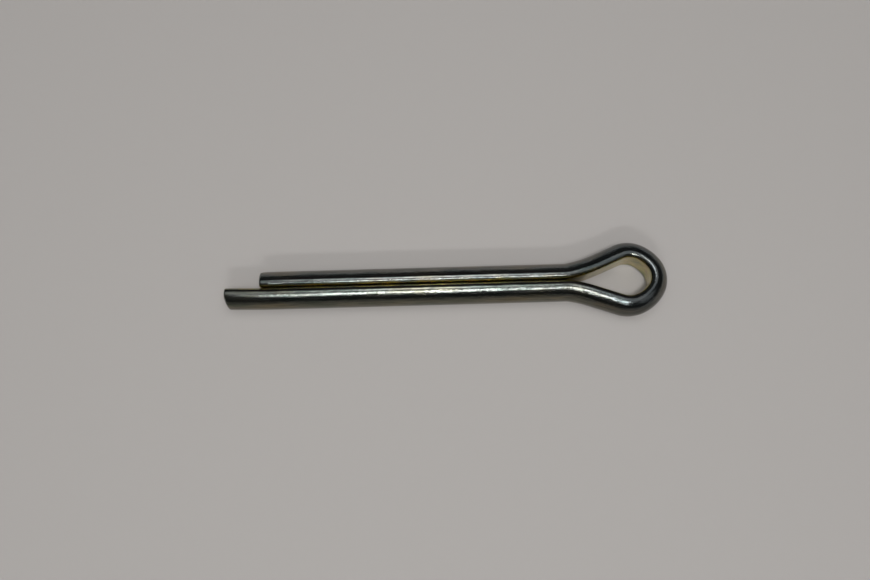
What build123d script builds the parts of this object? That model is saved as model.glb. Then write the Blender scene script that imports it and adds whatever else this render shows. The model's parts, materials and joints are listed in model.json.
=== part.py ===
from build123d import *
import math
import os

# Cotter pin for a 4 mm hole, 32 mm nominal length.
# One length of half-round steel wire is folded flat against flat round an eye.
# The prongs run along -X, and the eye stands out along +X. The split plane is Y = 0.
# The origin is on the shank's axis, where the prongs begin to part for the eye.

# Wire
shank_radius = 1.85
corner_radius = 0.5
prong_gap = 0.12

# Prongs, measured along X from the origin
short_reach = 29.55
long_reach = 32.9
tail_start = 28.2
tail_turn = 1.5
tail_bend_radius = 60.0

# Eye, as the bends of the wire's flat seen from above. Each prong leaves the shank by a
# short neck bend, flares out by a wide one, and runs straight up to its crown.
neck_radius = 3.5
neck_angle = 10.0
flare_radius = 13.5
short_flank_angle = 23.0
short_flank_length = 2.35
short_crown_radius = 1.6
long_flank_angle = 19.5
long_crown_radius = 1.85
cheek_radius = 2.75
cheek_angle = 30.0
nose_radius = 1.4
nose_angle = 70.0

# Cropped ends of the wire: how far each outer corner is cut back along and across the prong
long_bevel_along = 0.45
long_bevel_across = 0.9
short_bevel_along = 0.8
short_bevel_across = 0.2
end_rounding = 0.16

# What the crowns turn through follows from the flanks and from the eye's symmetrical front
flat_offset = prong_gap / 2
crown_share = 90 - nose_angle / 2 - cheek_angle
front_bends = (
    (short_crown_radius, short_flank_angle + crown_share),
    (cheek_radius, cheek_angle),
    (nose_radius, nose_angle),
    (cheek_radius, cheek_angle),
    (long_crown_radius, long_flank_angle + crown_share),
)

# The fold: from the short prong's end, round the eye, to the long prong's end
neck_slope = math.radians(neck_angle)
long_slope = math.radians(long_flank_angle)
neck_rise = neck_radius * (1 - math.cos(neck_slope))
long_flare_rise = flare_radius * (math.cos(neck_slope) - math.cos(long_slope))
with BuildLine() as fold:
    run = Line((-short_reach, flat_offset), (0, flat_offset))
    run = JernArc(run @ 1, run % 1, neck_radius, neck_angle)
    run = JernArc(run @ 1, run % 1, flare_radius, short_flank_angle - neck_angle)
    run = Line(run @ 1, run @ 1 + run % 1 * short_flank_length)
    for bend_radius, bend_angle in front_bends:
        run = JernArc(run @ 1, run % 1, bend_radius, -bend_angle)
    long_flank_rise = -flat_offset - neck_rise - long_flare_rise - (run @ 1).Y
    run = Line(run @ 1, run @ 1 + run % 1 * (long_flank_rise / math.sin(long_slope)))
    run = JernArc(run @ 1, run % 1, flare_radius, long_flank_angle - neck_angle)
    run = JernArc(run @ 1, run % 1, neck_radius, neck_angle)
    long_neck_x = (run @ 1).X
    run = Line(run @ 1, (-tail_start, -flat_offset))
    run = JernArc(run @ 1, run % 1, tail_bend_radius, -tail_turn)
    tail_length = (long_reach + (run @ 1).X) / math.cos(math.radians(tail_turn))
    run = Line(run @ 1, run @ 1 + run % 1 * tail_length)
    long_end = run @ 1

with BuildPart() as pin:
    # Half-round section with rolled corners, standing on the short prong's end
    end_plane = Plane(origin=(-short_reach, flat_offset, 0), x_dir=(0, 1, 0), z_dir=(1, 0, 0))
    with BuildSketch(end_plane) as wire_section:
        with Locations((-flat_offset, 0)):
            Circle(shank_radius)
        with Locations((-shank_radius, 0)):
            Rectangle(2 * shank_radius, 2 * shank_radius, mode=Mode.SUBTRACT)
        fillet(wire_section.vertices(), corner_radius)
    sweep(path=fold.wire())

    # Outer corners of both ends, cut back where the wire was cropped
    short_bevel = Plane(
        origin=(-short_reach, shank_radius - short_bevel_across, 0),
        z_dir=(-short_bevel_across, short_bevel_along, 0),
    )
    split(bisect_by=short_bevel, keep=Keep.BOTTOM)
    long_bevel = Plane(
        origin=(long_end.X, long_end.Y + flat_offset - shank_radius + long_bevel_across, 0),
        z_dir=(-long_bevel_across, -long_bevel_along, 0),
    )
    split(bisect_by=long_bevel, keep=Keep.BOTTOM)

    # The shears rolled every edge of both ends over a little
    short_edges = pin.edges().filter_by_position(Axis.Y, 0, shank_radius)
    short_edges = short_edges.filter_by_position(
        Axis.X, -short_reach - end_rounding, -short_reach + short_bevel_along
    )
    fillet(short_edges, end_rounding)
    long_edges = pin.edges().filter_by_position(
        Axis.X, -long_reach - end_rounding, -long_reach + long_bevel_along
    )
    fillet(long_edges, end_rounding)

os.makedirs("parts", exist_ok=True)
pin.part.label = "cotter_pin"
export_step(pin.part, "parts/cotter_pin.step")

print("long prong parts from the shank at x =", round(long_neck_x, 3))
print("box", pin.part.bounding_box())
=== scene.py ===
import json
import math

import bmesh
import bpy
from mathutils import Matrix, Vector


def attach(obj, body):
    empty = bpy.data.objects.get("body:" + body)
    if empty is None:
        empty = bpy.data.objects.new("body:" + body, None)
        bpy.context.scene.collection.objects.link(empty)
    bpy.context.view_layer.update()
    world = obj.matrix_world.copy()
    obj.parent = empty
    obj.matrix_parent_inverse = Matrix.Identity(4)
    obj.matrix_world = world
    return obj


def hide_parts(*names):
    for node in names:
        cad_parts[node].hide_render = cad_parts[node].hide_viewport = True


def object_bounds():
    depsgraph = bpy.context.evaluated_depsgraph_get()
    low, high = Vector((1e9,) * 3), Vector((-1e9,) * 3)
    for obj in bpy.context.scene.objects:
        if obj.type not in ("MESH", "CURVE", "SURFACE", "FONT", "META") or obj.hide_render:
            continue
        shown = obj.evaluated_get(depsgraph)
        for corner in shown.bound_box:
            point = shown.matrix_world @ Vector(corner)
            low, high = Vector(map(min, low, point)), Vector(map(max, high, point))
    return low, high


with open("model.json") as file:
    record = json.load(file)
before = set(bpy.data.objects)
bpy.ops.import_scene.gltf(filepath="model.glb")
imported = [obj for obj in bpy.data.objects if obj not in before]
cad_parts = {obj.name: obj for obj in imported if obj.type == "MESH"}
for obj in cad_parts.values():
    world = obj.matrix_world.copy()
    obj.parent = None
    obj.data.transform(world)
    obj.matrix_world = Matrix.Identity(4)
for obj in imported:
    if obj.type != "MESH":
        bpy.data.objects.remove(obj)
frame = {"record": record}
cad_low, cad_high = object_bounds()

# The pin's wire
# One length of half-round steel wire, zinc plated and passivated. It is folded flat against flat
# round a mandrel that leaves the eye, and shears crop both ends and cut their outer corners back.
# The sizes are in millimetres and degrees until the finished mesh is brought to metres.
mm = 0.001
shank_radius = frame["record"]["mounts"][0]["dims"]["r_mm"]
flat_offset = 0.06
corner_radius = 0.5
short_reach = 29.55
long_reach = 32.9
tail_start = 28.2
tail_turn = 1.5
tail_bend_radius = 60.0
neck_radius = 3.5
neck_angle = 10.0
flare_radius = 13.5
short_flank_angle = 23.0
short_flank_length = 2.35
short_crown_radius = 1.6
long_flank_angle = 19.5
long_crown_radius = 1.85
cheek_radius = 2.75
cheek_angle = 30.0
nose_radius = 1.4
nose_angle = 70.0
crown_share = 90 - nose_angle / 2 - cheek_angle

# The section is drawn by one point that runs up the flat, rolls over the upper corner, goes
# round the back and rolls in under the lower corner. Each point keeps its place on the wire
# before it was bent, as the way along, across from the flat, and up, for the finish to follow.
flat_steps = 8
corner_steps = 38
back_steps = 44
same_point = 0.001
wire = bmesh.new()
unbent = wire.verts.layers.float_vector.new("unbent")
corner_across = flat_offset + corner_radius
corner_up = math.sqrt((shank_radius - corner_radius) ** 2 - corner_across ** 2)
back_half_angle = math.atan2(corner_up, corner_across)
corner_turn = back_half_angle - math.pi
upper_corner = Vector((-short_reach, corner_across, corner_up))
lower_corner = Vector((-short_reach, corner_across, -corner_up))
shank_centre = Vector((-short_reach, 0, 0))
flat_rise = Vector((0, 0, 2 * corner_up))
outline = (
    (0, shank_centre, flat_rise, flat_steps),
    (corner_turn, upper_corner, Vector(), corner_steps),
    (-2 * back_half_angle, shank_centre, Vector(), back_steps),
    (corner_turn, lower_corner, Vector(), corner_steps),
)
tip = [wire.verts.new((-short_reach, flat_offset, -corner_up))]
for turn, centre, shift, steps in outline:
    grown = bmesh.ops.spin(
        wire, geom=tip, cent=centre, axis=(1, 0, 0), dvec=shift / steps, angle=turn, steps=steps
    )
    tip = [v for v in grown["geom_last"] if isinstance(v, bmesh.types.BMVert)]
bmesh.ops.remove_doubles(wire, verts=wire.verts, dist=same_point)
for v in wire.verts:
    v[unbent] = Vector((0, v.co.y - flat_offset, v.co.z))

# The section is carried along the fold, from the short prong's end to the long prong's.
run_step = 1.2
bend_step = 3.0
place = Vector((-short_reach, flat_offset, 0))
heading = 0.0
ring = wire.edges[:]


def carry(edges, matrix, centre, length):
    """Extrudes a ring of edges and moves the new ring by the matrix, about the centre."""
    grown = bmesh.ops.extrude_edge_only(wire, edges=edges)["geom"]
    new_verts = [v for v in grown if isinstance(v, bmesh.types.BMVert)]
    bmesh.ops.transform(wire, matrix=matrix, space=Matrix.Translation(-centre), verts=new_verts)
    for v in new_verts:
        v[unbent] = v[unbent] + Vector((length, 0, 0))
    return [e for e in grown if isinstance(e, bmesh.types.BMEdge)]


def run_on(length):
    """Carries the wire straight on."""
    global place, ring
    steps = max(1, round(length / run_step))
    step = Vector((math.cos(heading), math.sin(heading), 0)) * (length / steps)
    for _ in range(steps):
        ring = carry(ring, Matrix.Translation(step), Vector(), length / steps)
        place = place + step


def bend(radius, angle):
    """Carries the wire round a bend, to the left where its angle is positive."""
    global place, heading, ring
    side = math.copysign(1, angle)
    centre = place + Vector((-math.sin(heading), math.cos(heading), 0)) * radius * side
    steps = max(2, round(abs(angle) / bend_step))
    turn = math.radians(angle) / steps
    matrix = Matrix.Rotation(turn, 4, "Z")
    for _ in range(steps):
        ring = carry(ring, matrix, centre, radius * abs(turn))
        place = centre + matrix @ (place - centre)
        heading += turn


short_ring = ring
short_place = place
run_on(short_reach)
bend(neck_radius, neck_angle)
bend(flare_radius, short_flank_angle - neck_angle)
run_on(short_flank_length)
bend(short_crown_radius, -(short_flank_angle + crown_share))
bend(cheek_radius, -cheek_angle)
bend(nose_radius, -nose_angle)
bend(cheek_radius, -cheek_angle)
bend(long_crown_radius, -(long_flank_angle + crown_share))
neck_slope = math.radians(neck_angle)
long_slope = math.radians(long_flank_angle)
neck_rise = neck_radius * (1 - math.cos(neck_slope))
flare_rise = flare_radius * (math.cos(neck_slope) - math.cos(long_slope))
run_on((-flat_offset - neck_rise - flare_rise - place.y) / math.sin(long_slope))
bend(flare_radius, long_flank_angle - neck_angle)
bend(neck_radius, neck_angle)
run_on(place.x + tail_start)
bend(tail_bend_radius, -tail_turn)
run_on((long_reach + place.x) / math.cos(math.radians(tail_turn)))

# The cropped ends: the shears rolled each rim over and cut the back corner away. Each end is
# closed by rings, given by their share of the section's size and how far they are set back.
section_middle = 0.8
rim_depth = 0.22
rim_share = 0.32
rim_turns = [math.radians(turn) for turn in range(0, 91, 15)]
end_rings = [
    (1 - rim_share * (1 - math.cos(turn)), rim_depth * (1 - math.sin(turn))) for turn in rim_turns
]
end_rings += [(0.5, 0), (0.3, 0), (0.1, 0)]


def crop(edges, end, side, outward, bevel_from, bevel_slope, bevel_blend):
    """Closes one end, cut back at a slope past a distance across from the flat."""
    last_share = 1
    for count, (share, setback) in enumerate(end_rings):
        if count:
            edges = carry(edges, Matrix(), Vector(), 0)
        for v in {v for e in edges for v in e.verts}:
            along, across, up = v[unbent]
            across = section_middle + (across - section_middle) * share / last_share
            up = up * share / last_share
            past = max(0, across - bevel_from)
            back = setback + bevel_slope * past * past / (past + bevel_blend)
            v.co = end + side * across + Vector((0, 0, up)) - outward * back
            v[unbent] = Vector((along, across, up))
        last_share = share
    bmesh.ops.contextual_create(wire, geom=edges)


short_outward = Vector((-1, 0, 0))
short_side = Vector((0, 1, 0))
crop(
    short_ring, short_place, short_side, short_outward,
    bevel_from=1.50, bevel_slope=2.6, bevel_blend=0.05,
)
long_outward = Vector((math.cos(heading), math.sin(heading), 0))
long_side = Vector((-math.sin(heading), math.cos(heading), 0))
crop(ring, place, long_side, long_outward, bevel_from=0.80, bevel_slope=0.40, bevel_blend=0.35)
bmesh.ops.recalc_face_normals(wire, faces=wire.faces)
for face in wire.faces:
    face.smooth = True
bmesh.ops.scale(wire, vec=(mm, mm, mm), verts=wire.verts)
wire_mesh = bpy.data.meshes.new("pin_wire")
wire.to_mesh(wire_mesh)
wire.free()
pin_wire = bpy.data.objects.new("pin_wire", wire_mesh)
bpy.context.scene.collection.objects.link(pin_wire)

# The finish: zinc plate over drawn wire, with a thin passivation that tints it.
zinc = bpy.data.materials.new("passivated_zinc")
zinc.use_nodes = True
nodes = zinc.node_tree.nodes
links = zinc.node_tree.links
shader = nodes["Principled BSDF"]
shader.inputs["Metallic"].default_value = 1.0
unbent_place = nodes.new("ShaderNodeAttribute")
unbent_place.attribute_name = "unbent"
split_place = nodes.new("ShaderNodeSeparateXYZ")
links.new(unbent_place.outputs["Vector"], split_place.inputs["Vector"])
along_wire = split_place.outputs["X"]
across_wire = split_place.outputs["Y"]


def wire_noise(scale, detail, roughness=0.5):
    """Noise with so many features to a millimetre along, across and up the unbent wire."""
    mapping = nodes.new("ShaderNodeMapping")
    mapping.inputs["Scale"].default_value = scale
    links.new(unbent_place.outputs["Vector"], mapping.inputs["Vector"])
    noise = nodes.new("ShaderNodeTexNoise")
    noise.inputs["Scale"].default_value = 1.0
    noise.inputs["Detail"].default_value = detail
    noise.inputs["Roughness"].default_value = roughness
    links.new(mapping.outputs["Vector"], noise.inputs["Vector"])
    return noise.outputs["Fac"]


def ramp(source, stops):
    """Colours that follow a value, from stops of a position and a colour."""
    node = nodes.new("ShaderNodeValToRGB")
    elements = node.color_ramp.elements
    for element, (position, colour) in zip(elements, (stops[0], stops[-1])):
        element.position = position
        element.color = (*colour, 1)
    for position, colour in stops[1:-1]:
        elements.new(position).color = (*colour, 1)
    links.new(source, node.inputs["Fac"])
    return node.outputs["Color"]


def span(source, low, high, interpolation="LINEAR"):
    """Goes from 0 to 1 as a value goes from low to high."""
    node = nodes.new("ShaderNodeMapRange")
    node.interpolation_type = interpolation
    node.inputs["From Min"].default_value = low
    node.inputs["From Max"].default_value = high
    links.new(source, node.inputs["Value"])
    return node.outputs["Result"]


def combined(blend, first, second, factor=None):
    """Mixes or multiplies two colours, in full where no factor is given."""
    node = nodes.new("ShaderNodeMix")
    node.data_type = "RGBA"
    node.blend_type = blend
    node.inputs["Factor"].default_value = 1.0
    if factor is not None:
        links.new(factor, node.inputs["Factor"])
    links.new(first, node.inputs["A"])
    links.new(second, node.inputs["B"])
    return node.outputs["Result"]


def bumped(height, depth, under=None):
    """A bump of the given depth in metres, laid over another."""
    node = nodes.new("ShaderNodeBump")
    node.inputs["Distance"].default_value = depth
    links.new(height, node.inputs["Height"])
    if under is not None:
        links.new(under, node.inputs["Normal"])
    return node.outputs["Normal"]


# The coat is darker round the eye, and blotchy all along.
wire_length = 82.0
way = span(along_wire, 0, wire_length)
coat = ramp(way, (
    (0.34, (0.21, 0.215, 0.215)),
    (0.43, (0.15, 0.165, 0.175)),
    (0.50, (0.14, 0.15, 0.16)),
    (0.62, (0.20, 0.21, 0.20)),
    (0.90, (0.19, 0.20, 0.19)),
))
blotches = ramp(wire_noise((0.3, 1.0, 1.0), 4.0), (
    (0.30, (0.74, 0.84, 0.82)),
    (0.50, (1.0, 1.0, 1.0)),
    (0.70, (1.22, 1.12, 0.96)),
))

# Painted shade: the outside of the back is darkened and browned, with a darker painted stripe
# before that on the long prong, to dim the tabletop's reflection there.
outward_share = span(across_wire, 0, shank_radius)
painted_edge_shade = ramp(outward_share, (
    (0.60, (0.97, 1.0, 1.0)),
    (0.84, (0.82, 0.75, 0.66)),
))
long_painted_edge_shade = ramp(outward_share, (
    (0.62, (0.97, 1.0, 1.0)),
    (0.69, (0.48, 0.48, 0.46)),
    (0.79, (0.46, 0.44, 0.39)),
    (0.86, (0.80, 0.73, 0.60)),
))
on_long_prong = span(way, 0.49, 0.54)
painted_outer_shade = combined("MIX", painted_edge_shade, long_painted_edge_shade, on_long_prong)
# The back's colour carries the coat's tone together with the shade painted at its outer edge.
back_tint_and_painted_shade = combined("MULTIPLY", combined("MULTIPLY", coat, painted_outer_shade), blotches)

# It gathered thick and yellow on the flat, which shows inside the eye. The yellow ends along a
# ragged line on the rolled corner.
flat_tint = ramp(wire_noise((0.9, 1.3, 1.3), 4.0), (
    (0.32, (0.24, 0.28, 0.12)),
    (0.44, (0.42, 0.38, 0.15)),
    (0.52, (0.50, 0.44, 0.18)),
    (0.60, (0.46, 0.35, 0.20)),
    (0.72, (0.36, 0.36, 0.15)),
))
raggedness = 0.6
ragged = nodes.new("ShaderNodeMath")
ragged.operation = "MULTIPLY_ADD"
ragged.inputs[1].default_value = raggedness
links.new(wire_noise((0.5, 1.5, 1.5), 3.0), ragged.inputs[0])
links.new(across_wire, ragged.inputs[2])
off_the_flat = span(ragged.outputs["Value"], 0.28, 0.53, "SMOOTHSTEP")
# The painted shade at the outer back is carried on into this mix.
coat_with_painted_shade = combined("MIX", flat_tint, back_tint_and_painted_shade, off_the_flat)

# Drawing left fine streaks and lines along the wire.
streaks = ramp(wire_noise((0.5, 7.0, 7.0), 6.0, 0.65), (
    (0.36, (0.66, 0.68, 0.68)),
    (0.62, (1.25, 1.22, 1.18)),
))
links.new(combined("MULTIPLY", coat_with_painted_shade, streaks), shader.inputs["Base Color"])
polished = (0.10, 0.10, 0.10)
scuffed = (0.24, 0.24, 0.24)
gloss = ramp(wire_noise((0.3, 8.0, 8.0), 5.0), ((0.35, polished), (0.70, scuffed)))
links.new(gloss, shader.inputs["Roughness"])
wave_depth = 0.022 * mm
line_depth = 0.006 * mm
bead_depth = 0.016 * mm
pit_depth = 0.010 * mm
relief = bumped(wire_noise((0.6, 0.9, 0.9), 1.0), wave_depth)
relief = bumped(wire_noise((0.4, 6.0, 6.0), 3.0), line_depth, relief)
relief = bumped(wire_noise((2.4, 3.0, 3.0), 2.0), bead_depth, relief)
relief = bumped(wire_noise((7.0, 8.0, 8.0), 4.0, 0.6), pit_depth, relief)
links.new(relief, shader.inputs["Normal"])
wire_mesh.materials.append(zinc)
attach(pin_wire, "root")
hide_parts("cotter_pin")

# The floor
# A plain pale laminate tabletop that the pin lies on. It is one flat sheet, wide enough to reach
# the horizon from low down.
floor_level = cad_low.z
floor_half_width = 4.0
floor_shape = bmesh.new()
bmesh.ops.create_grid(floor_shape, x_segments=1, y_segments=1, size=floor_half_width)
bmesh.ops.translate(floor_shape, vec=(0, 0, floor_level), verts=floor_shape.verts)
floor_mesh = bpy.data.meshes.new("tabletop")
floor_shape.to_mesh(floor_mesh)
floor_shape.free()
tabletop = bpy.data.objects.new("tabletop", floor_mesh)
bpy.context.scene.collection.objects.link(tabletop)
laminate = bpy.data.materials.new("pale_laminate")
laminate.use_nodes = True
laminate_shader = laminate.node_tree.nodes["Principled BSDF"]
laminate_shader.inputs["Base Color"].default_value = (0.40, 0.38, 0.365, 1)
laminate_shader.inputs["Roughness"].default_value = 0.7
floor_mesh.materials.append(laminate)

# The camera
# It looks down on the pin, tilted a little to see it from the long prong's side.
lens_over_width = 1000 / 870
camera_tilt = 14.0
camera_turn = -1.631
camera_distance = 99.37 * mm
aim_before_middle = 1.16 * mm
aim_beside_split = 0.06 * mm
middle = (cad_low + cad_high) / 2
camera_data = bpy.data.cameras.new("camera")
camera_data.sensor_width = 36.0
camera_data.lens = camera_data.sensor_width * lens_over_width
camera_data.clip_start = 0.001
camera_data.clip_end = 20.0
camera = bpy.data.objects.new("camera", camera_data)
bpy.context.scene.collection.objects.link(camera)
camera.rotation_euler = (math.radians(camera_tilt), 0, math.radians(camera_turn))
aim = Vector((middle.x - aim_before_middle, aim_beside_split, floor_level))
camera.location = aim + camera.rotation_euler.to_matrix() @ Vector((0, 0, camera_distance))
bpy.context.scene.camera = camera


# The lights
# Soft rectangular lamps: a narrow one to the long prong's side, a wide dim one overhead, a small
# near one over the middle of the shank, one past the eye, and a fill for the tabletop.
def lamp(name, angle, distance, width, depth, power, shift=0.0):
    """Hangs a lamp at an angle from straight overhead, towards the far side where positive."""
    data = bpy.data.lights.new(name, "AREA")
    data.shape = "RECTANGLE"
    data.size = width
    data.size_y = depth
    data.energy = power
    made = bpy.data.objects.new(name, data)
    bpy.context.scene.collection.objects.link(made)
    turned = Matrix.Rotation(math.radians(-angle), 3, "X")
    made.rotation_euler = turned.to_euler()
    made.location = Vector((camera.location.x + shift, 0, 0)) + turned @ Vector((0, 0, distance))
    return made


lamp("side_softbox", -43.5, distance=0.30, width=0.09, depth=0.022, power=0.165)
lamp("overhead_softbox", -5, distance=0.45, width=0.62, depth=0.55, power=0.55)
lamp("near_softbox", 3, distance=0.12, width=0.038, depth=0.045, power=0.018, shift=2.3 * mm)
lamp("end_softbox", -42, distance=0.40, width=0.34, depth=0.24, power=0.075, shift=0.40)
fill = lamp("tabletop_fill", -14, distance=1.0, width=0.16, depth=0.16, power=5.4)
fill.visible_glossy = False

# The room is dim overhead and paler low down, where its walls are.
world = bpy.data.worlds.new("studio")
world.use_nodes = True
world_nodes = world.node_tree.nodes
world_links = world.node_tree.links
backdrop = world_nodes["Background"]
backdrop.inputs["Color"].default_value = (0.98, 1.0, 0.98, 1)
direction = world_nodes.new("ShaderNodeTexCoord")
rise = world_nodes.new("ShaderNodeSeparateXYZ")
world_links.new(direction.outputs["Generated"], rise.inputs["Vector"])
walls = world_nodes.new("ShaderNodeMapRange")
walls.interpolation_type = "SMOOTHSTEP"
walls.inputs["From Max"].default_value = 0.15
walls.inputs["To Min"].default_value = 0.27
walls.inputs["To Max"].default_value = 0.036
world_links.new(rise.outputs["Z"], walls.inputs["Value"])
world_links.new(walls.outputs["Result"], backdrop.inputs["Strength"])
bpy.context.scene.world = world
bpy.context.scene.view_settings.view_transform = "Standard"
